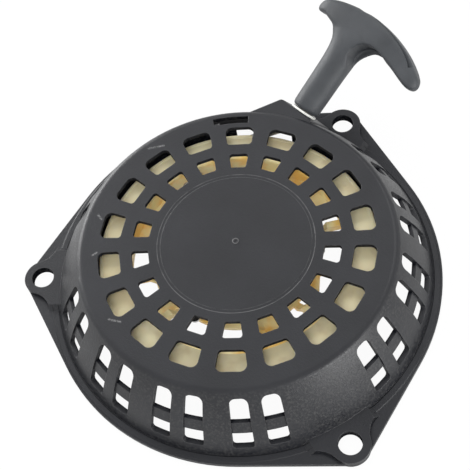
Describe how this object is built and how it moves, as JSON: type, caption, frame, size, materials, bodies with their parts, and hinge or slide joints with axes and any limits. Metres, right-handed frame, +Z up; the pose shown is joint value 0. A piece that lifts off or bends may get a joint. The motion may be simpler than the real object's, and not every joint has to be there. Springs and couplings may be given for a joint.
{
  "type": "recoil starter",
  "caption": "Round pull-rope starter for a small engine, with a windowed domed cover, a rope reel on a spiral spring, swinging pawls and a T-shaped pull grip.",
  "frame": {"origin": "centre of the three-bolt circle, on the mounting face that lies on the engine", "axes": "+Z up the reel's axis, from the engine towards the cover's flat top; +Y through the ear beside the rope's exit"},
  "size_m": [0.207, 0.2503, 0.0659],
  "materials": {
    "cover_plastic": "fine-grained moulded black plastic",
    "grip_rubber": "satin moulded black plastic",
    "cream_nylon": "natural cream nylon",
    "white_nylon": "smooth white nylon",
    "black_nylon": "glass-filled black nylon",
    "rope": "braided cord",
    "spring_steel": "blued spring steel",
    "plated_steel": "zinc plate"
  },
  "bodies": {
    "cover": {"starter_cover": "cover_plastic", "rope_eyelet": "white_nylon", "post_sleeve": "white_nylon", "thrust_washer": "plated_steel", "spring_cover": "plated_steel", "spring_cover_screws": "plated_steel", "recoil_spring": "spring_steel", "centre_washer": "plated_steel", "centre_screw": "plated_steel", "rope_lead": "rope"},
    "reel": {"rope_reel": "cream_nylon", "rope_winding": "rope", "reel_knot": "rope", "pawl_pins": "plated_steel", "pawl_spring_a": "spring_steel", "pawl_spring_b": "spring_steel"},
    "retainer": {"pawl_retainer": "black_nylon", "friction_spring": "spring_steel"},
    "pawl_left": {"pawl_b": "black_nylon"},
    "pawl_right": {"pawl_a": "black_nylon"},
    "rope_end": {"grip_washer": "plated_steel", "grip_knot": "rope"},
    "grip": {"pull_grip": "grip_rubber"}
  },
  "joints": [
    {"name": "reel_spin", "type": "hinge", "parent": "cover", "child": "reel", "pos_m": [0, 0, 0.0229], "axis": [0, 0, -1], "range_deg": [0, 700], "stiffness_Nm_per_rad": 0.04, "springref_deg": -720.21, "deforming": ["recoil_spring"]},
    {"name": "grip_pull", "type": "slide", "parent": "cover", "child": "rope_end", "axis": [0.2017, 0.8275, 0.524], "range_m": [0, 0.79], "deforming": ["rope_lead"]},
    {"name": "grip_swivel", "type": "hinge", "parent": "rope_end", "child": "grip", "pos_m": [-0.0138, 0.092, 0.0281], "axis": [0.2017, 0.8275, 0.524], "continuous": true},
    {"name": "retainer_turn", "type": "hinge", "parent": "reel", "child": "retainer", "pos_m": [0, 0, 0.0107], "axis": [0, 0, 1], "range_deg": [0, 40]},
    {"name": "pawl_right_swing", "type": "hinge", "parent": "reel", "child": "pawl_right", "pos_m": [0.024, 0, 0.0147], "axis": [0, 0, 1], "range_deg": [0, 30.01], "stiffness_Nm_per_rad": 0.001, "springref_deg": -20.05, "deforming": ["pawl_spring_a"]},
    {"name": "pawl_left_swing", "type": "hinge", "parent": "reel", "child": "pawl_left", "pos_m": [-0.024, 0, 0.0147], "axis": [0, 0, 1], "range_deg": [0, 30.01], "stiffness_Nm_per_rad": 0.001, "springref_deg": -20.05, "deforming": ["pawl_spring_b"]}
  ],
  "couplings": [
    {"joint": "grip_pull", "follows": "reel_spin", "m_per_rad": 0.0641},
    {"joint": "pawl_right_swing", "follows": "retainer_turn", "ratio": 0.75},
    {"joint": "pawl_left_swing", "follows": "retainer_turn", "ratio": 0.75}
  ]
}
